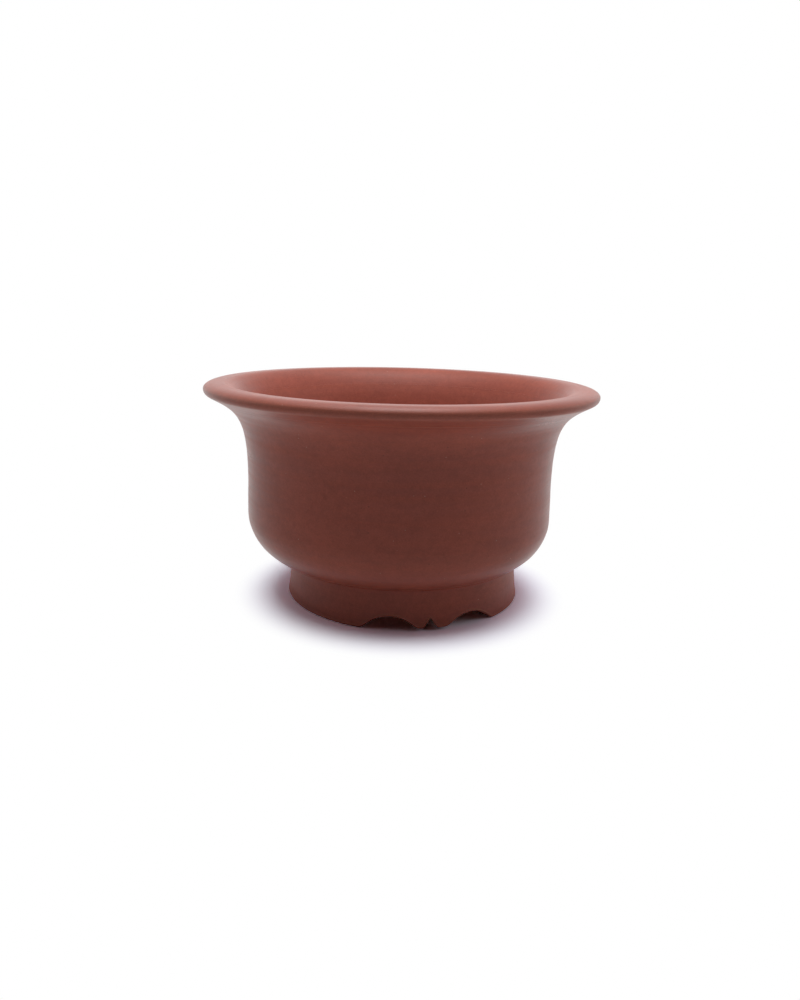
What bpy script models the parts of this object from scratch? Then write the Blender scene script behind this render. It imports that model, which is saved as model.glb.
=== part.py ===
"""Round bonsai pot in unglazed red-brown stoneware, built from four clay pieces.

rim_lip     thick rolled lip, seated over a tongue on top of the neck
bowl_wall   trumpet neck, waisted side and a belly that turns in under the pot
floor_disc  round floor with the drainage hole, laid on a ledge inside the bowl
foot_ring   low ring let into the underside, its lower edge cut in arches and notches

Metres, +Z up. The origin is on the plane that the pot rests on, under the bowl's axis.
The middle of the front group of cuts faces -Y, and a second group faces +Y.
"""

import math

import bmesh
import bpy

# Overall size and the fit between pieces
RIM_RADIUS = 0.1000
POT_HEIGHT = 0.1119
JOINT_GAP = 0.0003

# Rolled lip: a nose with a broad round top and a tight underside, a narrow level crown, and a
# throat that rolls into the bowl
NOSE_TOP_REACH = 0.0064
NOSE_TOP_RISE = 0.00305
NOSE_LOW_REACH = 0.0026
NOSE_LOW_DROP = 0.00295
CROWN_WIDTH = 0.0028
LIP_DEPTH = 0.0092
LIP_UNDERSIDE_SLOPE = math.radians(27.4)
THROAT_ROLL = 0.0090
THROAT_RISE = 0.0300

# Tongue on the neck and the groove for it in the lip
TONGUE_WIDTH = 0.0040
TONGUE_HEIGHT = 0.0020

# Bowl: neck, waist, belly
WALL_THICKNESS = 0.0065
NECK_RISE = 0.0303
FLARE_REACH = 0.0168
WAIST_RADIUS = 0.0793
WAIST_HEIGHT = 0.0637
BELLY_RADIUS = 0.0798
BELLY_ARC_RADIUS = 0.0245

# Foot ring, which stands a little off the bowl's axis
FOOT_HEIGHT = 0.0203
FOOT_BOTTOM_RADIUS = 0.0624
FOOT_TOP_RADIUS = 0.0599
FOOT_THICKNESS = 0.0090
FOOT_OFFSET = 0.0029
FOOT_TENON = 0.0015
FOOT_EDGE = 0.0008

# Cuts in the foot's lower edge: two arches with a pointed notch between their tips
ARCH_WIDTH = 0.0297
ARCH_HEIGHT = 0.0075
ARCH_SPACING = 0.0408
NOTCH_WIDTH = 0.0096
NOTCH_HEIGHT = 0.0065
NOTCH_FLANK_SAG = 0.0004
TIP_LIFT = 0.0018

# Floor disc: its ledge stays clear of the foot ring's groove
LEDGE_WIDTH = 0.0040
LEDGE_MARGIN = 0.0030
DRAIN_RADIUS = 0.0140

# Fineness of the turned surfaces, and the bend from which an edge is shaded sharp
TURN_STEPS = 64
BELLY_STEPS = 7
SEAT_STEPS = 14
NECK_STEPS = 7
THROAT_STEPS = 6
UNDERSIDE_STEPS = 3
NOSE_STEPS = 4
ARCH_STEPS = 10
SHARP_ANGLE = math.radians(35)

# How far a cutter reaches past what it cuts, and how often a search halves its range
CUTTER_MARGIN = 0.006
HALVINGS = 40

# Heights and places that several pieces share; floor and wall are half-lapped at the ledge
SEAT_Z = POT_HEIGHT - LIP_DEPTH
BASE_Z = FOOT_HEIGHT
FLOOR_Z = BASE_Z + WALL_THICKNESS
LEDGE_Z = BASE_Z + 0.5 * WALL_THICKNESS
BELLY_CENTRE = (BELLY_RADIUS - BELLY_ARC_RADIUS, BASE_Z + BELLY_ARC_RADIUS)
NOSE_Z = POT_HEIGHT - NOSE_TOP_RISE
NOSE_TOP_CENTRE = (RIM_RADIUS - NOSE_TOP_REACH, NOSE_Z)
NOSE_LOW_CENTRE = (RIM_RADIUS - NOSE_LOW_REACH, NOSE_Z)


def clear_scene():
    for item in list(bpy.data.objects):
        bpy.data.objects.remove(item, do_unlink=True)


def cubic_point(curve, t):
    """Point at t on a cubic Bezier curve given by its four (radius, height) points."""
    weights = ((1 - t) ** 3, 3 * t * (1 - t) ** 2, 3 * t * t * (1 - t), t ** 3)
    return tuple(sum(w * p[axis] for w, p in zip(weights, curve)) for axis in (0, 1))


def cubic_run(curve, start, end, steps):
    return [cubic_point(curve, start + (end - start) * k / steps) for k in range(steps + 1)]


def cubic_at_height(curve, height):
    """Where a curve that climbs all the way reaches a height."""
    low, high = 0.0, 1.0
    for _ in range(HALVINGS):
        middle = 0.5 * (low + high)
        if cubic_point(curve, middle)[1] < height:
            low = middle
        else:
            high = middle
    return 0.5 * (low + high)


def arc_run(centre, reach, rise, start, end, steps):
    """Points on an elliptical arc between two angles in radians."""
    angles = [start + (end - start) * k / steps for k in range(steps + 1)]
    return [(centre[0] + reach * math.cos(a), centre[1] + rise * math.sin(a)) for a in angles]


def nose_join_angle():
    """Angle on the nose where its tangent has the slope of the lip's underside."""
    return -math.atan2(NOSE_LOW_DROP, NOSE_LOW_REACH * math.tan(LIP_UNDERSIDE_SLOPE))


def nose_run():
    """Round the nose from the lip's underside to its crown; two arcs meet at the widest place."""
    under = arc_run(NOSE_LOW_CENTRE, NOSE_LOW_REACH, NOSE_LOW_DROP, nose_join_angle(), 0.0, NOSE_STEPS)
    over = arc_run(NOSE_TOP_CENTRE, NOSE_TOP_REACH, NOSE_TOP_RISE, 0.0, 0.5 * math.pi, NOSE_STEPS)
    return under[:-1] + over


def neck_curve():
    """Outside of the neck, from the waist out to the lip's nose."""
    end = nose_run()[0]
    slope = LIP_UNDERSIDE_SLOPE
    before_end = (end[0] - FLARE_REACH * math.cos(slope), end[1] - FLARE_REACH * math.sin(slope))
    return [(WAIST_RADIUS, WAIST_HEIGHT), (WAIST_RADIUS, WAIST_HEIGHT + NECK_RISE), before_end, end]


def throat_curve():
    """Inside of the neck, from the waist up to the level crown of the lip."""
    radius = WAIST_RADIUS - WALL_THICKNESS
    top = NOSE_TOP_CENTRE[0] - CROWN_WIDTH
    return [
        (radius, WAIST_HEIGHT),
        (radius, WAIST_HEIGHT + THROAT_RISE),
        (top - THROAT_ROLL, POT_HEIGHT),
        (top, POT_HEIGHT),
    ]


def radius_at(curve, height):
    return cubic_point(curve, cubic_at_height(curve, height))[0]


def tongue_radii():
    """Inner and outer radius of the tongue, midway across the top of the neck."""
    middle = 0.5 * (radius_at(neck_curve(), SEAT_Z) + radius_at(throat_curve(), SEAT_Z))
    return middle - 0.5 * TONGUE_WIDTH, middle + 0.5 * TONGUE_WIDTH


def ledge_radii():
    """Inner and outer radius of the ledge under the floor disc, inside the foot's groove."""
    foot_inside = FOOT_TOP_RADIUS - FOOT_THICKNESS - FOOT_OFFSET
    outer = foot_inside - LEDGE_MARGIN
    return outer - LEDGE_WIDTH, outer


def lip_section():
    seat = SEAT_Z + JOINT_GAP
    groove_top = seat + TONGUE_HEIGHT
    inner, outer = tongue_radii()
    neck, throat = neck_curve(), throat_curve()
    return (
        [(inner - JOINT_GAP, seat), (inner - JOINT_GAP, groove_top)]
        + [(outer + JOINT_GAP, groove_top), (outer + JOINT_GAP, seat)]
        + cubic_run(neck, cubic_at_height(neck, seat), 1.0, UNDERSIDE_STEPS)[:-1]
        + nose_run()
        + cubic_run(throat, 1.0, cubic_at_height(throat, seat), THROAT_STEPS)
    )


def wall_section():
    inner, outer = tongue_radii()
    ledge_inner, ledge_outer = ledge_radii()
    neck, throat = neck_curve(), throat_curve()
    down, level = -0.5 * math.pi, 0.0
    inside_arc = BELLY_ARC_RADIUS - WALL_THICKNESS
    return (
        [(ledge_inner, BASE_Z)]
        + arc_run(BELLY_CENTRE, BELLY_ARC_RADIUS, BELLY_ARC_RADIUS, down, level, BELLY_STEPS)
        + cubic_run(neck, 0.0, cubic_at_height(neck, SEAT_Z), NECK_STEPS)
        + [(outer, SEAT_Z), (outer, SEAT_Z + TONGUE_HEIGHT)]
        + [(inner, SEAT_Z + TONGUE_HEIGHT), (inner, SEAT_Z)]
        + cubic_run(throat, cubic_at_height(throat, SEAT_Z), 0.0, NECK_STEPS)
        + arc_run(BELLY_CENTRE, inside_arc, inside_arc, level, down, BELLY_STEPS)
        + [(ledge_outer, FLOOR_Z), (ledge_outer, LEDGE_Z), (ledge_inner, LEDGE_Z)]
    )


def floor_section():
    ledge_inner, ledge_outer = ledge_radii()
    return [
        (DRAIN_RADIUS, BASE_Z),
        (ledge_inner - JOINT_GAP, BASE_Z),
        (ledge_inner - JOINT_GAP, LEDGE_Z + JOINT_GAP),
        (ledge_outer - JOINT_GAP, LEDGE_Z + JOINT_GAP),
        (ledge_outer - JOINT_GAP, FLOOR_Z),
        (DRAIN_RADIUS, FLOOR_Z),
    ]


def foot_radius(height):
    """Outer radius of the foot ring, whose side flares out towards the bottom."""
    return FOOT_BOTTOM_RADIUS - (FOOT_BOTTOM_RADIUS - FOOT_TOP_RADIUS) * height / FOOT_HEIGHT


def foot_section():
    """The ring runs up into the bowl here, and the belly is cut out of it afterwards."""
    top = BELLY_CENTRE[1]
    edge = foot_radius(FOOT_EDGE)
    return [
        (edge - FOOT_THICKNESS + FOOT_EDGE, 0.0),
        (edge - FOOT_EDGE, 0.0),
        (edge, FOOT_EDGE),
        (foot_radius(top), top),
        (foot_radius(top) - FOOT_THICKNESS, top),
        (edge - FOOT_THICKNESS, FOOT_EDGE),
    ]


def groove_section():
    """The foot ring's upper part with the joint's gap on both sides."""
    low, top = BASE_Z - CUTTER_MARGIN, BELLY_CENTRE[1]
    outside = [(foot_radius(low) + JOINT_GAP, low), (foot_radius(top) + JOINT_GAP, top)]
    inside = [(radius - FOOT_THICKNESS - 2 * JOINT_GAP, z) for radius, z in reversed(outside)]
    return outside + inside


def belly_section(depth):
    """The belly's underside, moved into the clay by a depth, as a thick plate to cut with."""
    radius = BELLY_ARC_RADIUS - depth
    top = BELLY_CENTRE[1] + CUTTER_MARGIN
    core = DRAIN_RADIUS
    arc = arc_run(BELLY_CENTRE, radius, radius, -0.5 * math.pi, 0.0, SEAT_STEPS)
    return [(core, BASE_Z + depth)] + arc + [(BELLY_CENTRE[0] + radius, top), (core, top)]


def finish_mesh(name, bm):
    bmesh.ops.recalc_face_normals(bm, faces=bm.faces)
    mesh = bpy.data.meshes.new(name)
    bm.to_mesh(mesh)
    bm.free()
    mesh.shade_smooth()
    mesh.set_sharp_from_angle(angle=SHARP_ANGLE)
    item = bpy.data.objects.new(name, mesh)
    bpy.context.scene.collection.objects.link(item)
    return item


def turned(name, section):
    """Ring made by turning a closed (radius, height) outline about its object's Z axis."""
    bm = bmesh.new()
    corners = [bm.verts.new((radius, 0.0, height)) for radius, height in section]
    edges = [bm.edges.new(pair) for pair in zip(corners, corners[1:] + corners[:1])]
    bmesh.ops.spin(
        bm,
        geom=corners + edges,
        axis=(0.0, 0.0, 1.0),
        cent=(0.0, 0.0, 0.0),
        angle=2 * math.pi,
        steps=TURN_STEPS,
        use_merge=True,
    )
    return finish_mesh(name, bm)


def cut_outline():
    """Upper edge of one group of cuts, left to right: distance along the foot's edge and height."""
    arch_radius = (0.25 * ARCH_WIDTH ** 2 + ARCH_HEIGHT ** 2) / (2 * ARCH_HEIGHT)
    centre = (0.5 * ARCH_SPACING, ARCH_HEIGHT - arch_radius)
    tip_angle = math.pi - math.asin((TIP_LIFT - centre[1]) / arch_radius)
    end_angle = math.asin((-FOOT_EDGE - centre[1]) / arch_radius)
    arch = arc_run(centre, arch_radius, arch_radius, tip_angle, end_angle, ARCH_STEPS)
    flank = (0.25 * NOTCH_WIDTH, 0.5 * (NOTCH_HEIGHT + TIP_LIFT) - NOTCH_FLANK_SAG)
    right = [flank, (0.5 * NOTCH_WIDTH, TIP_LIFT)] + arch
    left = [(-along, height) for along, height in reversed(right)]
    return left + [(0.0, NOTCH_HEIGHT)] + right


def cut_group(name, facing):
    """Cutter for one group of cuts: its outline wrapped round the foot and run through it."""
    inside = FOOT_TOP_RADIUS - FOOT_THICKNESS - CUTTER_MARGIN
    outside = FOOT_BOTTOM_RADIUS + CUTTER_MARGIN
    bm = bmesh.new()
    slices = []
    for along, height in cut_outline():
        angle = facing + along / FOOT_BOTTOM_RADIUS
        corners = ((inside, -CUTTER_MARGIN), (outside, -CUTTER_MARGIN), (outside, height), (inside, height))
        slices.append([bm.verts.new((r * math.cos(angle), r * math.sin(angle), z)) for r, z in corners])
    for one, following in zip(slices, slices[1:]):
        for k in range(4):
            bm.faces.new((one[k], one[k - 1], following[k - 1], following[k]))
    bm.faces.new(slices[0])
    bm.faces.new(slices[-1])
    return finish_mesh(name, bm)


def hide_cutter(cutter):
    cutter.hide_render = True
    cutter.display_type = "WIRE"
    return cutter


def subtract(item, cutter):
    modifier = item.modifiers.new("cut by " + cutter.name, "BOOLEAN")
    modifier.operation = "DIFFERENCE"
    modifier.solver = "EXACT"
    modifier.object = cutter


def stoneware(name, colour, roughness):
    """Fired clay without a glaze."""
    material = bpy.data.materials.new(name)
    material.use_nodes = True
    shader = material.node_tree.nodes["Principled BSDF"]
    shader.inputs["Base Color"].default_value = (*colour, 1.0)
    shader.inputs["Roughness"].default_value = roughness
    shader.inputs["Metallic"].default_value = 0.0
    return material


def build_rim_lip():
    lip = turned("rim_lip", lip_section())
    lip.data.materials.append(stoneware("lip_clay", (0.300, 0.075, 0.052), 0.50))


def build_bowl_wall():
    bowl = turned("bowl_wall", wall_section())
    groove = hide_cutter(turned("foot_groove", groove_section()))
    groove.location.x = FOOT_OFFSET
    groove_floor = hide_cutter(turned("groove_floor", belly_section(FOOT_TENON + JOINT_GAP)))
    subtract(groove, groove_floor)
    subtract(bowl, groove)
    bowl.data.materials.append(stoneware("wall_clay", (0.285, 0.070, 0.049), 0.52))


def build_floor_disc():
    disc = turned("floor_disc", floor_section())
    disc.data.materials.append(stoneware("floor_clay", (0.270, 0.066, 0.047), 0.60))


def build_foot_ring():
    ring = turned("foot_ring", foot_section())
    ring.location.x = FOOT_OFFSET
    subtract(ring, hide_cutter(turned("belly_seat", belly_section(FOOT_TENON))))
    for name, facing in (("front_cuts", -0.5 * math.pi), ("back_cuts", 0.5 * math.pi)):
        cuts = hide_cutter(cut_group(name, facing))
        cuts.location.x = FOOT_OFFSET
        subtract(ring, cuts)
    ring.data.materials.append(stoneware("foot_clay", (0.265, 0.065, 0.047), 0.58))


def main():
    clear_scene()
    build_rim_lip()
    build_bowl_wall()
    build_floor_disc()
    build_foot_ring()


main()
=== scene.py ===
"""Looks of a round unglazed bonsai pot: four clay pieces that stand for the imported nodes.

Each piece is turned about an axis from a section that may change with the angle, and then
takes the slight unevenness of hand work. Metres, +Z up, in the frame of the solids.
"""

import math

import bpy
import numpy as np
from mathutils import Matrix, Vector


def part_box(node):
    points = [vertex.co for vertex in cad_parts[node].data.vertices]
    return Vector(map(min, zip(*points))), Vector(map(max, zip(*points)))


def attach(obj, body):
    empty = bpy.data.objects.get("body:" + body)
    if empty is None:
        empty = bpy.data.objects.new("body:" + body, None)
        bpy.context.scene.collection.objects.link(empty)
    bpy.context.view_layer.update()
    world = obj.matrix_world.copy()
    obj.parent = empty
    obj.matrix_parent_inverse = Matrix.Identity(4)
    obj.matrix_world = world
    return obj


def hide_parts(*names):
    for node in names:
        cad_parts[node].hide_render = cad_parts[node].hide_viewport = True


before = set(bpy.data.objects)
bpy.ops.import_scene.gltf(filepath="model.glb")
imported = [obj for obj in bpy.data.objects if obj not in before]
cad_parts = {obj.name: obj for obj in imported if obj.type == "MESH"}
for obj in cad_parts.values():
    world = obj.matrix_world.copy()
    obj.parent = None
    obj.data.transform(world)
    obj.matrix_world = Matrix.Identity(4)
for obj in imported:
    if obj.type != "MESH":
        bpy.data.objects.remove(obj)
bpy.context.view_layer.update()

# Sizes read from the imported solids, and the gap that these keep between pieces
lip_low, lip_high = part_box("rim_lip")
wall_low, wall_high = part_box("bowl_wall")
disc_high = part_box("floor_disc")[1]
foot_low, foot_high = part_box("foot_ring")
JOINT_GAP = 0.0003
RIM_RADIUS = lip_high[0]
POT_HEIGHT = lip_high[2]
SEAT_Z = lip_low[2] - JOINT_GAP
TONGUE_TOP = wall_high[2]
BASE_Z = wall_low[2]
FLOOR_Z = disc_high[2]
LEDGE_OUTER = disc_high[0] + JOINT_GAP
FOOT_OFFSET = 0.5 * (foot_low[0] + foot_high[0])
FOOT_BOTTOM_RADIUS = 0.5 * (foot_high[0] - foot_low[0])

# Profile of the bowl and its lip
NOSE_TOP_REACH = 0.0064
NOSE_TOP_RISE = 0.00305
NOSE_LOW_REACH = 0.0026
NOSE_LOW_DROP = 0.00295
CROWN_WIDTH = 0.0028
LIP_UNDERSIDE_SLOPE = math.radians(27.4)
THROAT_ROLL = 0.0090
THROAT_RISE = 0.0300
WALL_THICKNESS = 0.0065
NECK_RISE = 0.0303
FLARE_REACH = 0.0168
WAIST_RADIUS = 0.0793
WAIST_HEIGHT = 0.0637
BELLY_RADIUS = 0.0798
BELLY_ARC_RADIUS = 0.0245
BELLY_FULLNESS = 0.00075
BELLY_FULLER_SIDE = math.radians(-14)
TONGUE_WIDTH = 0.0040
LEDGE_WIDTH = 0.0040
DRAIN_RADIUS = 0.0140
DRAIN_EDGE = 0.0014

# Foot ring, the fillets of soft clay in its crease, each with its reach over the belly and down
# the foot, and the hairline that stays open in a closed seam
FOOT_TOP_RADIUS = 0.0603
FOOT_THICKNESS = 0.0090
FOOT_HOLLOW = 0.0003
FOOT_TENON = 0.0015
FOOT_EDGE = 0.0009
CREASE_OUTSIDE = (0.0025, 0.0056)
CREASE_INSIDE = (0.0025, 0.0025)
SEAM = 0.00002

# Cuts in the foot's edge, as places along it from the middle of their group: each arch has
# its start, top, end and height, and the notch between the tips likewise
FRONT_ARCHES = ((-0.0352, -0.0208, -0.0068, 0.0067), (0.0067, 0.0206, 0.0350, 0.0065))
FRONT_NOTCH = (-0.0047, -0.0010, 0.0024, 0.0061)
BACK_ARCHES = ((-0.0348, -0.0197, -0.0070, 0.0065), (0.0066, 0.0213, 0.0354, 0.0067))
BACK_NOTCH = (-0.0030, 0.0007, 0.0043, 0.0060)
TIP_LIFT = 0.0011
ARCH_ROUNDING = 0.0018
CUT_ROUNDING = 0.0006
ARCH_POWER = 2.1

# Fineness: steps round the axis, points along a run, and how closely curves are searched
TURN_STEPS = 192
FOOT_STEPS = 640
LONG_RUN = 110
MIDDLE_RUN = 44
SHORT_RUN = 12
TENON_RUN = 8
CURVE_SAMPLES = 4001
CREASE_ROUNDS = 6
SHARP_ANGLE = math.radians(40)

# Unevenness of hand work: wavelength and height of the turning rings, number of waves and height
# of the slow warps, how each is shifted from the one before, and how both fade at lip and ground
RINGS = ((0.0033, 0.000004), (0.0052, 0.000008), (0.0081, 0.000012), (0.0142, 0.000024))
RING_SHIFT = 1.7
RING_WOBBLE = 0.35
WARPS = ((2, 0.00007), (3, 0.00004), (5, 0.00003))
WARP_SHIFT = 1.3
WARP_CLIMB = 9.0
LIP_SHARE = 0.25
RELIEF_AT_LIP = 0.00005
GROUND_BLEND = 0.003

# Rubbed edges, lighter where the skin bends outwards: partly real wear and partly a painted
# highlight. The radius of bend that counts as fully lighter, how many points next to a seam never
# are, and the least square of its length that an edge of the mesh is taken to have
WEAR_AND_HIGHLIGHT_BEND = 0.0012
WEAR_AND_HIGHLIGHT_MARGIN = 2
LEAST_SQUARE = 1e-12

NOSE_Z = POT_HEIGHT - NOSE_TOP_RISE
NOSE_TOP_CENTRE = (RIM_RADIUS - NOSE_TOP_REACH, NOSE_Z)
NOSE_LOW_CENTRE = (RIM_RADIUS - NOSE_LOW_REACH, NOSE_Z)
QUARTER = 0.5 * math.pi


def cubic(curve, t):
    """Points at t on a cubic Bezier curve through (radius, height) points."""
    t = np.asarray(t, float)[..., None]
    a, b, c, d = (np.array(p) for p in curve)
    return (1 - t) ** 3 * a + 3 * t * (1 - t) ** 2 * b + 3 * t ** 2 * (1 - t) * c + t ** 3 * d


def time_at_height(curve, height):
    """Where a curve that climbs all the way reaches a height."""
    times = np.linspace(0.0, 1.0, CURVE_SAMPLES)
    return float(np.interp(height, cubic(curve, times)[:, 1], times))


def radius_at(curve, height):
    """Radius of a curve where it reaches a height."""
    return float(cubic(curve, time_at_height(curve, height))[0])


def arc(centre, reach, rise, start, end, count):
    """Points on an ellipse between two angles; reach is its half width and rise its half height."""
    angles = np.linspace(start, end, count)
    return np.column_stack([centre[0] + reach * np.cos(angles), centre[1] + rise * np.sin(angles)])


def line(start, end, count):
    """Points on a straight line, with both its ends."""
    return np.linspace(start, end, count)


def smooth_max(a, b, width):
    """The larger of two values, rounded where they differ by less than a width."""
    return np.maximum(a, b) + np.maximum(width - abs(a - b), 0.0) ** 2 / (4 * width)


def nose_join_angle():
    """Angle on the nose where its tangent has the slope of the lip's underside."""
    return -math.atan2(NOSE_LOW_DROP, NOSE_LOW_REACH * math.tan(LIP_UNDERSIDE_SLOPE))


def nose_run():
    """Round the nose from the lip's underside to its crown; two arcs meet at the widest place."""
    start = nose_join_angle()
    under = arc(NOSE_LOW_CENTRE, NOSE_LOW_REACH, NOSE_LOW_DROP, start, 0.0, MIDDLE_RUN // 2)
    over = arc(NOSE_TOP_CENTRE, NOSE_TOP_REACH, NOSE_TOP_RISE, 0.0, QUARTER, MIDDLE_RUN)
    return np.vstack([under[:-1], over])


def neck_curve():
    """Outside of the neck, from the waist out to the lip's nose."""
    end = nose_run()[0]
    slope = LIP_UNDERSIDE_SLOPE
    before_end = (end[0] - FLARE_REACH * math.cos(slope), end[1] - FLARE_REACH * math.sin(slope))
    return [(WAIST_RADIUS, WAIST_HEIGHT), (WAIST_RADIUS, WAIST_HEIGHT + NECK_RISE), before_end, end]


def throat_curve():
    """Inside of the neck, from the waist up to the level crown of the lip."""
    radius = WAIST_RADIUS - WALL_THICKNESS
    top = NOSE_TOP_CENTRE[0] - CROWN_WIDTH
    return [
        (radius, WAIST_HEIGHT),
        (radius, WAIST_HEIGHT + THROAT_RISE),
        (top - THROAT_ROLL, POT_HEIGHT),
        (top, POT_HEIGHT),
    ]


NECK, THROAT = neck_curve(), throat_curve()
TONGUE_MIDDLE = 0.5 * (radius_at(NECK, SEAT_Z) + radius_at(THROAT, SEAT_Z))
TONGUE = (TONGUE_MIDDLE - 0.5 * TONGUE_WIDTH, TONGUE_MIDDLE + 0.5 * TONGUE_WIDTH)


def belly_arc(angle):
    """Radius and centre of the belly's arc, which is a little fuller on one side."""
    radius = BELLY_ARC_RADIUS - BELLY_FULLNESS * math.cos(angle - BELLY_FULLER_SIDE)
    return radius, (BELLY_RADIUS - radius, BASE_Z + radius)


def belly_height(radius, angle, depth=0.0):
    """Height of the bowl's underside at a radius, or of a surface a little inside the clay."""
    arc_radius, centre = belly_arc(angle)
    out = max(radius - centre[0], 0.0)
    return centre[1] - math.sqrt((arc_radius - depth) ** 2 - out ** 2)


# Sections: each is a closed outline in runs, and a run is its points with whether hands and
# tools have worked it. An unworked run lies hidden in a joint.


def lip_runs(_angle):
    """The lip's skin round its nose and crown, and the groove that sits over the tongue."""
    seat = SEAT_Z + SEAM
    neck_times = np.linspace(time_at_height(NECK, seat), 1.0, SHORT_RUN)
    throat_times = np.linspace(1.0, time_at_height(THROAT, seat), MIDDLE_RUN)
    nose = nose_run()
    top = line(nose[-1], THROAT[-1], SHORT_RUN)
    skin = np.vstack([
        cubic(NECK, neck_times)[:-1],
        nose[:-1],
        top[:-1],
        cubic(THROAT, throat_times),
    ])
    groove_top = TONGUE_TOP + SEAM
    groove = [
        (TONGUE[0] - SEAM, seat),
        (TONGUE[0] - SEAM, groove_top),
        (TONGUE[1] + SEAM, groove_top),
        (TONGUE[1] + SEAM, seat),
    ]
    return [(skin, True), (np.array(groove), False)]


def foot_circle(angle, radius):
    """Distance from the bowl's axis to the foot's circle of a radius, along an angle."""
    aside = FOOT_OFFSET * math.sin(angle)
    return FOOT_OFFSET * math.cos(angle) + math.sqrt(radius ** 2 - aside ** 2)


def wall_runs(angle):
    """The wall's skins, with the foot's groove, the lip's tongue and the floor's ledge between."""
    ledge_inner = LEDGE_OUTER - LEDGE_WIDTH
    ledge_z = 0.5 * (BASE_Z + FLOOR_Z)
    slot_in = foot_circle(angle, FOOT_TOP_RADIUS - FOOT_THICKNESS) - SEAM
    slot_out = foot_circle(angle, FOOT_TOP_RADIUS) + SEAM
    belly, centre = belly_arc(angle)
    arc_start = -math.acos((slot_out - centre[0]) / belly)
    neck_times = np.linspace(0.0, time_at_height(NECK, SEAT_Z), LONG_RUN)
    throat_times = np.linspace(time_at_height(THROAT, SEAT_Z), 0.0, LONG_RUN // 2)
    inside = belly - WALL_THICKNESS
    outer_skin = np.vstack([
        arc(centre, belly, belly, arc_start, 0.0, MIDDLE_RUN)[:-1],
        line((BELLY_RADIUS, centre[1]), (WAIST_RADIUS, WAIST_HEIGHT), SHORT_RUN * 2)[:-1],
        cubic(NECK, neck_times),
    ])
    inner_skin = np.vstack([
        cubic(THROAT, throat_times)[:-1],
        line(THROAT[0], (BELLY_RADIUS - WALL_THICKNESS, centre[1]), SHORT_RUN)[:-1],
        arc(centre, inside, inside, 0.0, -QUARTER, MIDDLE_RUN)[:-1],
        line((centre[0], FLOOR_Z), (LEDGE_OUTER, FLOOR_Z), SHORT_RUN),
    ])
    groove_z = BASE_Z + FOOT_TENON + SEAM
    groove = [(slot_in, groove_z)] + [
        (radius, belly_height(radius, angle, FOOT_TENON + SEAM))
        for radius in np.linspace(max(slot_in, centre[0]), slot_out, TENON_RUN)
    ]
    tongue = [
        (TONGUE[1], SEAT_Z),
        (TONGUE[1], TONGUE_TOP),
        (TONGUE[0], TONGUE_TOP),
        (TONGUE[0], SEAT_Z),
    ]
    ledge = [(LEDGE_OUTER, ledge_z), (ledge_inner, ledge_z)]
    return [
        (line((ledge_inner, BASE_Z), (slot_in, BASE_Z), SHORT_RUN), True),
        (np.array(groove), False),
        (outer_skin, True),
        (np.array(tongue), False),
        (inner_skin, True),
        (np.array(ledge), False),
    ]


def disc_runs(_angle):
    """The floor disc's faces and rounded drain, and its step on the wall's ledge."""
    ledge_inner = LEDGE_OUTER - LEDGE_WIDTH - SEAM
    ledge_z = 0.5 * (BASE_Z + FLOOR_Z) + SEAM
    low_centre = (DRAIN_RADIUS + DRAIN_EDGE, BASE_Z + DRAIN_EDGE)
    top_centre = (DRAIN_RADIUS + DRAIN_EDGE, FLOOR_Z - DRAIN_EDGE)
    skin = np.vstack([
        line((LEDGE_OUTER - SEAM, FLOOR_Z), (top_centre[0], FLOOR_Z), MIDDLE_RUN)[:-1],
        arc(top_centre, DRAIN_EDGE, DRAIN_EDGE, QUARTER, math.pi, SHORT_RUN),
        arc(low_centre, DRAIN_EDGE, DRAIN_EDGE, math.pi, 3 * QUARTER, SHORT_RUN),
        line((low_centre[0], BASE_Z), (ledge_inner, BASE_Z), MIDDLE_RUN)[1:],
    ])
    ledge = [(ledge_inner, ledge_z), (LEDGE_OUTER - SEAM, ledge_z)]
    return [(skin, True), (np.array(ledge), False)]


def arch_height(along, cut):
    """A rounded arch that rises to its top from either end, and is below zero outside its ends."""
    start, top, end, height = cut
    reach = np.where(along < top, top - start, end - top)
    return height * (1 - (abs(along - top) / reach) ** ARCH_POWER)


def notch_height(along, cut):
    """A pointed notch: two straight flanks that meet in a slightly rounded top."""
    start, top, end, height = cut
    left = TIP_LIFT + (height - TIP_LIFT) * (along - start) / (top - start)
    right = TIP_LIFT + (height - TIP_LIFT) * (end - along) / (end - top)
    return -smooth_max(-left, -right, CUT_ROUNDING)


def cut_group(along, arches, notch):
    """Height of one group of cuts: two arches, and between them two lifted tips with a notch."""
    between_tops = arches[0][1] < along < arches[1][1]
    tip = TIP_LIFT if between_tops else -POT_HEIGHT
    edge = smooth_max(arch_height(along, arches[0]), arch_height(along, arches[1]), ARCH_ROUNDING)
    edge = smooth_max(edge, tip, ARCH_ROUNDING)
    return smooth_max(edge, notch_height(along, notch), CUT_ROUNDING)


def edge_lift(angle):
    """Height of the foot's lower edge at an angle about the foot's own axis."""
    lift = 0.0
    for facing, arches, notch in (
        (-QUARTER, FRONT_ARCHES, FRONT_NOTCH),
        (QUARTER, BACK_ARCHES, BACK_NOTCH),
    ):
        turn = (angle - facing + math.pi) % (2 * math.pi) - math.pi
        lift = smooth_max(lift, cut_group(turn * FOOT_BOTTOM_RADIUS, arches, notch), ARCH_ROUNDING)
    return float(lift)


def foot_radius(height):
    """Outer radius of the foot ring: it flares out to the bottom and is a little hollow."""
    share = height / BASE_Z
    straight = FOOT_BOTTOM_RADIUS + (FOOT_TOP_RADIUS - FOOT_BOTTOM_RADIUS) * share
    return straight - FOOT_HOLLOW * 4 * share * (1 - share)


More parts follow.
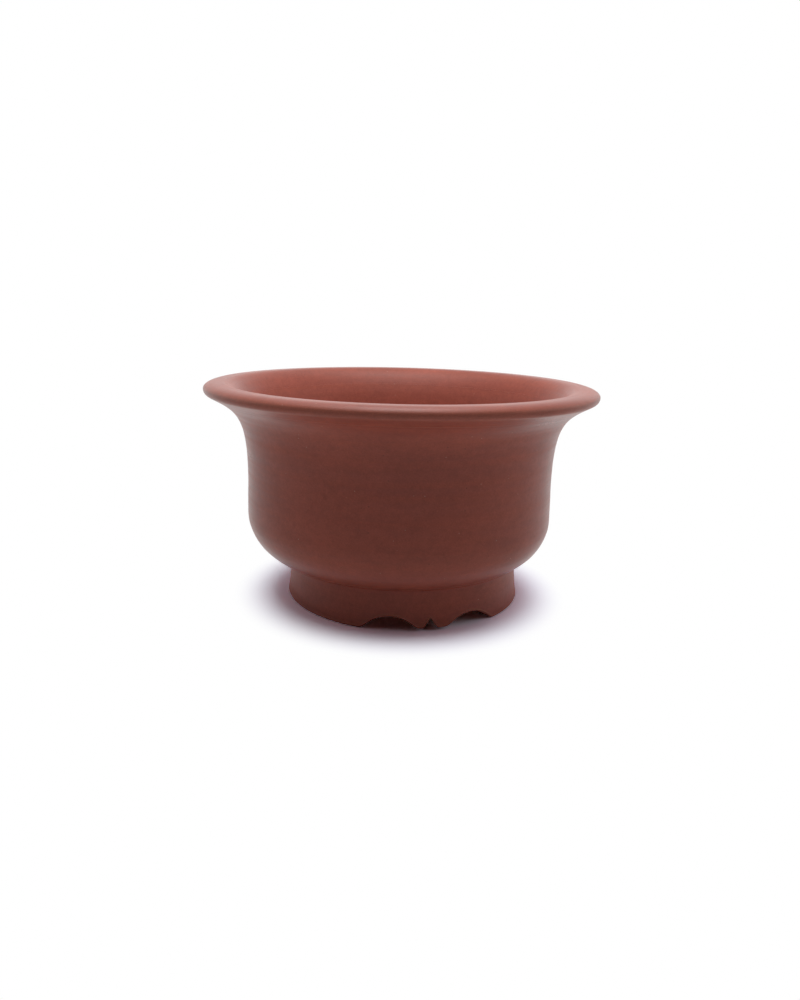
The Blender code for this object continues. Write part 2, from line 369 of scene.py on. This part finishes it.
def belly_over_foot(radius, angle, depth=0.0):
    """Height of the bowl's underside over a point given about the foot's axis."""
    across, along = FOOT_OFFSET + radius * math.cos(angle), radius * math.sin(angle)
    return belly_height(math.hypot(across, along), math.atan2(along, across), depth)


def crease(angle, side, reach):
    """Soft fillet from the foot's side over the belly; side is 1 outside the ring, -1 inside."""
    inwards = 0.0 if side > 0 else FOOT_THICKNESS
    height = BASE_Z
    for _ in range(CREASE_ROUNDS):
        radius = foot_radius(height) - inwards
        height = belly_over_foot(radius, angle)
    far = radius + side * reach[0]
    low = height - reach[1]
    start = np.array((foot_radius(low) - inwards, low))
    corner = np.array((radius, height))
    end = np.array((far, belly_over_foot(far, angle) - SEAM))
    t = np.linspace(0.0, 1.0, SHORT_RUN)[:, None]
    return (1 - t) ** 2 * start + 2 * t * (1 - t) * corner + t ** 2 * end


def foot_side(start, end, inwards):
    """Points on the foot's side between two heights; the runs beside it hold its two ends."""
    heights = np.linspace(start, end, MIDDLE_RUN)[1:-1]
    return np.array([(foot_radius(height) - inwards, height) for height in heights])


def foot_runs(angle):
    """The foot's skin round its cut edge and up into both creases, and its tenon."""
    lift = edge_lift(angle)
    outside = crease(angle, 1, CREASE_OUTSIDE)
    inside = crease(angle, -1, CREASE_INSIDE)
    outer, inner = foot_radius(lift), foot_radius(lift) - FOOT_THICKNESS
    low = lift + FOOT_EDGE
    outer_edge = arc((outer - FOOT_EDGE, low), FOOT_EDGE, FOOT_EDGE, -QUARTER, 0.0, SHORT_RUN)
    inner_edge = arc((inner + FOOT_EDGE, low), FOOT_EDGE, FOOT_EDGE, -math.pi, -QUARTER, SHORT_RUN)
    outer_side = foot_side(low, outside[0][1], 0.0)
    inner_side = foot_side(inside[0][1], low, FOOT_THICKNESS)
    tenon_out, tenon_in = FOOT_TOP_RADIUS, FOOT_TOP_RADIUS - FOOT_THICKNESS
    tenon = [(tenon_out, belly_over_foot(tenon_out, angle) - SEAM)]
    for radius in np.linspace(tenon_out, tenon_in, TENON_RUN):
        tenon.append((radius, belly_over_foot(radius, angle, FOOT_TENON)))
    tenon.append((tenon_in, belly_over_foot(tenon_in, angle) - SEAM))
    skin = np.vstack([inside[::-1], inner_side, inner_edge, outer_edge, outer_side, outside])
    return [(skin, True), (np.array(tenon), False)]


def relief(radius, height, angle):
    """Depth of the turning rings and slow warps at places on the pot; on the lip it is inwards."""
    along = radius + height
    near_lip = np.clip((height - WAIST_HEIGHT) / (NOSE_Z - WAIST_HEIGHT), 0.0, 1.0)
    depth = 0.0
    for number, (wavelength, size) in enumerate(RINGS):
        wobble = RING_WOBBLE * np.sin((number + 1) * angle + number)
        phase = 2 * math.pi * along / wavelength + RING_SHIFT * number + wobble
        depth = depth - size * np.sin(phase)
    for waves, size in WARPS:
        phase = waves * angle + WARP_SHIFT * waves + WARP_CLIMB * height
        depth = depth - size * np.sin(phase)
    depth = depth * (1 - (1 - LIP_SHARE) * near_lip) + RELIEF_AT_LIP * near_lip
    return depth * np.clip(height / GROUND_BLEND, 0.0, 1.0)


def section(runs_at, angle, centre_x):
    """Closed outline at an angle, with the worked runs set back by the relief."""
    parts = []
    for points, worked in runs_at(angle):
        if worked:
            along = np.gradient(points, axis=0)
            along /= np.linalg.norm(along, axis=1)[:, None]
            inward = np.column_stack([-along[:, 1], along[:, 0]])
            x, y = centre_x + points[:, 0] * math.cos(angle), points[:, 0] * math.sin(angle)
            depth = relief(np.hypot(x, y), points[:, 1], np.arctan2(y, x))
            points = points + inward * depth[:, None]
        parts.append(points)
    return np.vstack(parts)


def open_points(run):
    """1 for the points of a worked run that lie away from its ends, and 0 for all others."""
    points, worked = run
    inner_count = max(len(points) - 2 * WEAR_AND_HIGHLIGHT_MARGIN, 0)
    return np.pad(np.full(inner_count, float(worked)), WEAR_AND_HIGHLIGHT_MARGIN)[:len(points)]


def turned(name, runs_at, steps, centre_x):
    """Closed ring about an axis, with a section for each step and quads from one to the next."""
    angles = [2 * math.pi * k / steps for k in range(steps)]
    sections = np.array([section(runs_at, angle, centre_x) for angle in angles])
    count = sections.shape[1]
    across = sections[:, :, 0]
    turn = np.array(angles)[:, None]
    x, y = centre_x + across * np.cos(turn), across * np.sin(turn)
    places = np.stack([x, y, sections[:, :, 1]], axis=-1)
    row = np.arange(steps)[:, None] * count
    next_row = (np.arange(steps)[:, None] + 1) % steps * count
    column = np.arange(count)[None, :]
    next_column = (column + 1) % count
    corners = (row + column, next_row + column, next_row + next_column, row + next_column)
    quads = np.stack(corners, axis=-1)
    mesh = bpy.data.meshes.new(name)
    mesh.from_pydata(places.reshape(-1, 3).tolist(), [], quads.reshape(-1, 4).tolist())
    mesh.update()
    mesh.shade_smooth()
    mesh.set_sharp_from_angle(angle=SHARP_ANGLE)
    open_skin = np.concatenate([open_points(run) for run in runs_at(0.0)])
    paint_wear_and_highlight(mesh, np.tile(open_skin, steps))
    item = bpy.data.objects.new(name, mesh)
    bpy.context.scene.collection.objects.link(item)
    return item


def paint_wear_and_highlight(mesh, open_skin):
    """Stores how far the open skin bends outwards, for edges lightened as wear and painted
    highlight.
    """
    count = len(mesh.vertices)
    places, normals = np.empty(count * 3), np.empty(count * 3)
    mesh.vertices.foreach_get("co", places)
    mesh.vertices.foreach_get("normal", normals)
    places, normals = places.reshape(-1, 3), normals.reshape(-1, 3)
    ends = np.empty(len(mesh.edges) * 2, int)
    mesh.edges.foreach_get("vertices", ends)
    one, other = ends.reshape(-1, 2).T
    apart = places[other] - places[one]
    squares = np.maximum((apart ** 2).sum(1), LEAST_SQUARE)
    bend = ((normals[other] - normals[one]) * apart).sum(1) / squares
    strongest = np.zeros(count)
    np.maximum.at(strongest, one, bend)
    np.maximum.at(strongest, other, bend)
    # Outward bends are made lighter: partly rubbed wear, partly a painted highlight where edges
    # catch light
    wear_and_highlight = np.clip(strongest * WEAR_AND_HIGHLIGHT_BEND, 0.0, 1.0) * open_skin
    mesh.attributes.new("wear_and_highlight", "FLOAT", "POINT").data.foreach_set("value", wear_and_highlight)


# Fired clay: its colours, and its noise patterns with stretch, scale, detail and roughness
CLAY_BODY = (0.300, 0.070, 0.045)
CLAY_WARM = (0.335, 0.077, 0.044)
CLAY_DARK = (0.258, 0.062, 0.042)
EVEN = (1.0, 1.0, 1.0)
PATTERNS = {
    "streaks": ((9.0, 9.0, 420.0), 1.0, 4.0, 0.60),
    "cloud": (EVEN, 30.0, 3.0, 0.55),
    "smudges": ((55.0, 55.0, 230.0), 1.0, 3.0, 0.60),
    "mottle": (EVEN, 330.0, 3.0, 0.75),
    "grain": (EVEN, 1500.0, 3.0, 0.65),
}
BODY_RANGE = (0.32, 0.68)
WARM_RANGE = (0.35, 0.80)
WARM_SHARE = 0.5

# How far each pattern darkens and lightens the clay, and how far it lifts its skin
TONE_RANGE = (0.3, 0.7)
TONES = {"grain": 0.12, "mottle": 0.10, "smudges": 0.06}
LIFTS = {"streaks": 0.8, "grain": 0.5, "mottle": 1.2}
LIFT_HEIGHT = 0.00006
LIFT_STRENGTH = 0.6

# Pale specks and dark pits, each with scale, size and share of the cells, and the colour and
# strength of both and of the rubbed edges, which are lightened partly as wear and partly as a
# painted highlight. A spot is full in its core, and most spots are full.
SPECKS = (620.0, 0.20, 0.02)
SPECK_COLOUR = (0.55, 0.36, 0.27)
SPECK_STRENGTH = 0.45
PITS = (380.0, 0.16, 0.07)
PIT_COLOUR = (0.05, 0.022, 0.016)
PIT_STRENGTH = 0.55
WEAR_AND_HIGHLIGHT_COLOUR = (0.46, 0.19, 0.12)
WEAR_AND_HIGHLIGHT_STRENGTH = 0.22
SPOT_CORE = 0.4
SPOT_FULL = 0.7

# Gloss of dry clay: how rough the pieces are, how far that varies over the patterns, and how
# much smoother the lip and the wall look at a grazing angle
CLAY_SPECULAR = 0.25
CLAY_ROUGHNESS = 0.50
FLOOR_ROUGHNESS = 0.58
ROUGHNESS_SPREAD = 0.06
GLOSS_RANGE = (0.7, 1.3)
GRAZING_BLEND = 0.5
GRAZING_RANGE = (0.4, 0.8)
GRAZING_SHINE = 0.18


def add_node(tree, kind, inputs=None, **settings):
    """Adds a node, sets its options, and links or fills its inputs."""
    made = tree.nodes.new(kind)
    for key, value in settings.items():
        setattr(made, key, value)
    for key, value in (inputs or {}).items():
        if isinstance(value, bpy.types.NodeSocket):
            tree.links.new(value, made.inputs[key])
        else:
            made.inputs[key].default_value = value
    return made


def ranged(tree, value, low, high, to_low, to_high):
    """Takes a value from one range to another, and holds it inside that."""
    inputs = {0: value, 1: low, 2: high, 3: to_low, 4: to_high}
    return add_node(tree, "ShaderNodeMapRange", inputs).outputs[0]


def maths(tree, operation, one, other):
    return add_node(tree, "ShaderNodeMath", {0: one, 1: other}, operation=operation).outputs[0]


def mixed(tree, share, one, other, blend="MIX"):
    """Mixes two colours, each a socket or three numbers."""
    colours = {
        key: colour if isinstance(colour, bpy.types.NodeSocket) else (*colour, 1.0)
        for key, colour in ((6, one), (7, other))
    }
    settings = {"data_type": "RGBA", "blend_type": blend}
    return add_node(tree, "ShaderNodeMix", {0: share, **colours}, **settings).outputs[2]


def noise(tree, place, stretch, scale, detail, roughness):
    """Cloudy pattern, drawn out along the axes where its stretch is small."""
    drawn = add_node(tree, "ShaderNodeMapping", {"Vector": place, "Scale": stretch}).outputs[0]
    inputs = {"Vector": drawn, "Scale": scale, "Detail": detail, "Roughness": roughness}
    return add_node(tree, "ShaderNodeTexNoise", inputs).outputs[0]


def spots(tree, place, scale, size, share):
    """Sparse round spots: 1 at the middle of some cells, and 0 away from them."""
    cells = add_node(tree, "ShaderNodeTexVoronoi", {"Vector": place, "Scale": scale}).outputs
    shape = ranged(tree, cells["Distance"], size, SPOT_CORE * size, 0.0, 1.0)
    chance = add_node(tree, "ShaderNodeSeparateColor", {0: cells["Color"]}).outputs[0]
    chosen = ranged(tree, chance, share, SPOT_FULL * share, 0.0, 1.0)
    return maths(tree, "MULTIPLY", shape, chosen)


def clay_colour(tree, patterns, specks, pits):
    """Cloudy clay, warmer streaks, tone broken up, then specks, pits, and rubbed edges with painted
    highlight.
    """
    share = ranged(tree, patterns["cloud"], *BODY_RANGE, 0.0, 1.0)
    colour = mixed(tree, share, CLAY_DARK, CLAY_BODY)
    share = ranged(tree, patterns["streaks"], *WARM_RANGE, 0.0, WARM_SHARE)
    colour = mixed(tree, share, colour, CLAY_WARM)
    tone = 1.0
    for key, spread in TONES.items():
        change = ranged(tree, patterns[key], *TONE_RANGE, 1.0 - spread, 1.0 + spread)
        tone = maths(tree, "MULTIPLY", change, tone)
    grey = add_node(tree, "ShaderNodeCombineColor", {0: tone, 1: tone, 2: tone}).outputs[0]
    colour = mixed(tree, 1.0, colour, grey, "MULTIPLY")
    # Edges lightened on outward bends: partly rubbed wear, partly a painted highlight
    wear_and_highlight = add_node(tree, "ShaderNodeAttribute", attribute_name="wear_and_highlight").outputs["Fac"]
    for marks, strength, paint in (
        (specks, SPECK_STRENGTH, SPECK_COLOUR),
        (pits, PIT_STRENGTH, PIT_COLOUR),
        (wear_and_highlight, WEAR_AND_HIGHLIGHT_STRENGTH, WEAR_AND_HIGHLIGHT_COLOUR),
    ):
        colour = mixed(tree, maths(tree, "MULTIPLY", marks, strength), colour, paint)
    return colour


def clay_roughness(tree, patterns, roughness, grazing_shine):
    """Dry clay, a little rougher and smoother in places, and smoother at a grazing angle."""
    texture = maths(tree, "ADD", patterns["grain"], patterns["streaks"])
    ends = (roughness - ROUGHNESS_SPREAD, roughness + ROUGHNESS_SPREAD)
    gloss = ranged(tree, texture, *GLOSS_RANGE, *ends)
    grazing = add_node(tree, "ShaderNodeLayerWeight", {"Blend": GRAZING_BLEND}).outputs["Facing"]
    shine = ranged(tree, grazing, *GRAZING_RANGE, 0.0, grazing_shine)
    return maths(tree, "SUBTRACT", gloss, shine)


def clay_skin(tree, patterns, pits):
    """Fine unevenness of the surface: streaks, grain and mottling stand up, and pits go in."""
    height = 0.0
    for key, lift in LIFTS.items():
        height = maths(tree, "ADD", maths(tree, "MULTIPLY", patterns[key], lift), height)
    height = maths(tree, "SUBTRACT", height, pits)
    inputs = {"Height": height, "Distance": LIFT_HEIGHT, "Strength": LIFT_STRENGTH}
    return add_node(tree, "ShaderNodeBump", inputs).outputs[0]


def stoneware(name, roughness, grazing_shine):
    """Fired red-brown clay: turned streaks, mottling, grain, pale specks and small pits."""
    material = bpy.data.materials.new(name)
    material.use_nodes = True
    tree = material.node_tree
    shader = tree.nodes["Principled BSDF"].inputs
    shader["Specular IOR Level"].default_value = CLAY_SPECULAR
    place = add_node(tree, "ShaderNodeTexCoord").outputs["Object"]
    patterns = {key: noise(tree, place, *values) for key, values in PATTERNS.items()}
    specks, pits = spots(tree, place, *SPECKS), spots(tree, place, *PITS)
    gloss = clay_roughness(tree, patterns, roughness, grazing_shine)
    tree.links.new(clay_colour(tree, patterns, specks, pits), shader["Base Color"])
    tree.links.new(gloss, shader["Roughness"])
    tree.links.new(clay_skin(tree, patterns, pits), shader["Normal"])
    return material


# The pot's pieces: name, the node that each stands for, slot, its section with the steps round
# it and its axis, and its material with roughness and grazing shine
PIECES = (
    ("lip_turned", "rim_lip", "lip_clay",
     (lip_runs, TURN_STEPS, 0.0), ("lip_stoneware", CLAY_ROUGHNESS, GRAZING_SHINE)),
    ("wall_turned", "bowl_wall", "wall_clay",
     (wall_runs, TURN_STEPS, 0.0), ("wall_stoneware", CLAY_ROUGHNESS, GRAZING_SHINE)),
    ("floor_turned", "floor_disc", "floor_clay",
     (disc_runs, TURN_STEPS, 0.0), ("floor_stoneware", FLOOR_ROUGHNESS, 0.0)),
    ("foot_cut", "foot_ring", "foot_clay",
     (foot_runs, FOOT_STEPS, FOOT_OFFSET), ("foot_stoneware", CLAY_ROUGHNESS, 0.0)),
)


def build_pot():
    """Turns each piece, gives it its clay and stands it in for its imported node."""
    for name, node, slot, form, clay in PIECES:
        item = turned(name, *form)
        item.data.materials.append(stoneware(*clay))
        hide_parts(node)
        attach(item, "root")


# Camera: where it stood round the pot, and how it was held
CAMERA_DISTANCE = 0.3895
CAMERA_HEIGHT = 0.1499
CAMERA_TURN = math.radians(-13.8)
CAMERA_YAW = 0.0012
CAMERA_PITCH = 0.2542
CAMERA_ROLL = 0.0245
CAMERA_LENS = 26.88
CAMERA_NEAREST = 0.01


def place_camera():
    """Stands the camera off the pot at its turn about the pot's axis, tipped down to the pot."""
    data = bpy.data.cameras.new("camera")
    data.lens = CAMERA_LENS
    data.clip_start = CAMERA_NEAREST
    camera = bpy.data.objects.new("camera", data)
    camera.matrix_world = (
        Matrix.Rotation(CAMERA_TURN, 4, "Z")
        @ Matrix.Translation((0.0, -CAMERA_DISTANCE, CAMERA_HEIGHT))
        @ Matrix.Rotation(-CAMERA_YAW, 4, "Z")
        @ Matrix.Rotation(QUARTER - CAMERA_PITCH, 4, "X")
        @ Matrix.Rotation(CAMERA_ROLL, 4, "Z")
    )
    bpy.context.scene.collection.objects.link(camera)
    bpy.context.scene.camera = camera


# Floor: its size, how far under the foot it lies, its colour where light meets it, and its colour
# as the camera and reflections see it: darker close to the foot as a painted shadow over the real
# one, brighter away from it, and a darker, greyer painted shade inside it. Seen, it goes over 1,
# because lamps at a plain level don't light it white. The painted shadow fades out to white over a
# distance from the foot, about a centre given from the foot's axis.
FLOOR_SIZE = 6.0
FLOOR_DROP = 0.00005
FLOOR_COLOUR = (0.94, 0.93, 0.94)
FLOOR_SHOWN_IN_PAINTED_SHADOW = (1.42, 1.36, 1.66)
FLOOR_SHOWN_FAR = (2.1, 2.3, 3.2)
FLOOR_SHOWN_IN_PAINTED_SHADE_INSIDE = (1.2, 1.3, 1.4)
PAINTED_SHADOW_FADE = 0.028
PAINTED_SHADOW_CENTRE = (-0.0018, -0.0016, 0.0)

# Studio white, and the kinds of ray that see it
WHITE = (1.0, 1.0, 1.0, 1.0)
SEEN_RAYS = ("Is Camera Ray", "Is Glossy Ray", "Is Transmission Ray")


def seen_directly(tree):
    """1 for rays that see the white studio, and 0 for those that carry light to the pot."""
    path = add_node(tree, "ShaderNodeLightPath").outputs
    seen = 0.0
    for kind in SEEN_RAYS:
        seen = maths(tree, "MAXIMUM", path[kind], seen)
    return seen


def floor_material():
    """Pale paint, seen as white away from the pot; close to it, its shadow deepened by a painted
    shadow.
    """
    material = bpy.data.materials.new("studio_floor")
    material.use_nodes = True
    tree = material.node_tree
    tree.nodes.clear()
    place = add_node(tree, "ShaderNodeTexCoord").outputs["Object"]
    away = add_node(tree, "ShaderNodeVectorMath", {0: place}, operation="LENGTH").outputs["Value"]
    # Painted shadow: the seen colour is darker near the foot and fades to white about a shifted
    # centre
    apart = {0: place, 1: PAINTED_SHADOW_CENTRE}
    shadow_centre_distance = add_node(tree, "ShaderNodeVectorMath", apart, operation="DISTANCE").outputs["Value"]
    fade = {0: shadow_centre_distance, 1: FOOT_BOTTOM_RADIUS, 2: FOOT_BOTTOM_RADIUS + PAINTED_SHADOW_FADE}
    shadow_paint_share = add_node(tree, "ShaderNodeMapRange", fade, interpolation_type="SMOOTHSTEP").outputs[0]
    seen = seen_directly(tree)
    # Painted shade: the seen floor inside the foot ring is darker and greyer
    foot_inside = FOOT_BOTTOM_RADIUS - FOOT_THICKNESS
    outside = ranged(tree, away, foot_inside, FOOT_BOTTOM_RADIUS, 0.0, 1.0)
    shown = mixed(tree, shadow_paint_share, FLOOR_SHOWN_IN_PAINTED_SHADOW, FLOOR_SHOWN_FAR)
    shown = mixed(tree, outside, FLOOR_SHOWN_IN_PAINTED_SHADE_INSIDE, shown)
    colour = mixed(tree, seen, FLOOR_COLOUR, shown)
    matte = add_node(tree, "ShaderNodeBsdfDiffuse", {"Color": colour}).outputs[0]
    white = add_node(tree, "ShaderNodeEmission", {"Strength": 1.0}).outputs[0]
    whitened = maths(tree, "MULTIPLY", seen, shadow_paint_share)
    top = add_node(tree, "ShaderNodeMixShader", {0: whitened, 1: matte, 2: white}).outputs[0]
    clear = add_node(tree, "ShaderNodeBsdfTransparent").outputs[0]
    below = add_node(tree, "ShaderNodeNewGeometry").outputs["Backfacing"]
    both = add_node(tree, "ShaderNodeMixShader", {0: below, 1: top, 2: clear}).outputs[0]
    add_node(tree, "ShaderNodeOutputMaterial", {"Surface": both})
    material.cycles.emission_sampling = "NONE"
    return material


def lay_floor():
    """One large square under the foot, seen from above only."""
    mesh = bpy.data.meshes.new("studio_floor")
    half = 0.5 * FLOOR_SIZE
    corners = [(-half, -half, 0.0), (half, -half, 0.0), (half, half, 0.0), (-half, half, 0.0)]
    mesh.from_pydata(corners, [], [(0, 1, 2, 3)])
    mesh.materials.append(floor_material())
    floor = bpy.data.objects.new("studio_floor", mesh)
    floor.location = (FOOT_OFFSET, 0.0, -FLOOR_DROP)
    bpy.context.scene.collection.objects.link(floor)


# Studio light: a bright screen behind the pot and one at its back right, each with its turn from
# the back, strength and tightness, and soft lamps with their place, size and power
SCREENS = ((0.0, 1.0, 4.0), (-45.0, 1.0, 12.0))
LAMPS = {
    "top_softbox": ((0.0, 0.0, 0.70), 0.60, 2.93),
    "near_softbox": ((0.0, 0.0, 0.38), 0.12, 0.43),
    "right_softbox": ((0.534, -0.131, 0.30), 0.40, 0.55),
    "left_softbox": ((-0.534, 0.131, 0.30), 0.40, 0.36),
}


def light_world():
    """Soft light from behind, with white for what the camera and reflections see."""
    world = bpy.data.worlds.new("studio")
    bpy.context.scene.world = world
    world.use_nodes = True
    tree = world.node_tree
    tree.nodes.clear()
    direction = add_node(tree, "ShaderNodeTexCoord").outputs["Generated"]
    light = 0.0
    for turn, strength, tightness in SCREENS:
        heading = CAMERA_TURN + math.radians(turn)
        axis = (-math.sin(heading), math.cos(heading), 0.0)
        pair = {0: direction, 1: axis}
        facing = add_node(tree, "ShaderNodeVectorMath", pair, operation="DOT_PRODUCT")
        lobe = maths(tree, "POWER", maths(tree, "MAXIMUM", facing.outputs["Value"], 0.0), tightness)
        light = maths(tree, "ADD", maths(tree, "MULTIPLY", lobe, strength), light)
    soft = add_node(tree, "ShaderNodeBackground", {"Color": WHITE, "Strength": light}).outputs[0]
    white = add_node(tree, "ShaderNodeBackground", {"Color": WHITE, "Strength": 1.0}).outputs[0]
    inputs = {0: seen_directly(tree), 1: soft, 2: white}
    both = add_node(tree, "ShaderNodeMixShader", inputs).outputs[0]
    add_node(tree, "ShaderNodeOutputWorld", {"Surface": both})
    world.cycles.sampling_method = "NONE"


def hang_lamp(name, place, size, power):
    """Square soft lamp, aimed at the middle of the pot and out of the camera's sight."""
    data = bpy.data.lights.new(name, "AREA")
    data.size = size
    data.energy = power
    lamp = bpy.data.objects.new(name, data)
    lamp.location = place
    aim = Vector((0.0, 0.0, 0.5 * POT_HEIGHT)) - Vector(place)
    lamp.rotation_euler = aim.to_track_quat("-Z", "Y").to_euler()
    lamp.visible_camera = False
    bpy.context.scene.collection.objects.link(lamp)


build_pot()
place_camera()
lay_floor()
light_world()
for lamp_name, (lamp_place, lamp_size, lamp_power) in LAMPS.items():
    hang_lamp(lamp_name, lamp_place, lamp_size, lamp_power)

bpy.context.scene.view_settings.view_transform = "Standard"
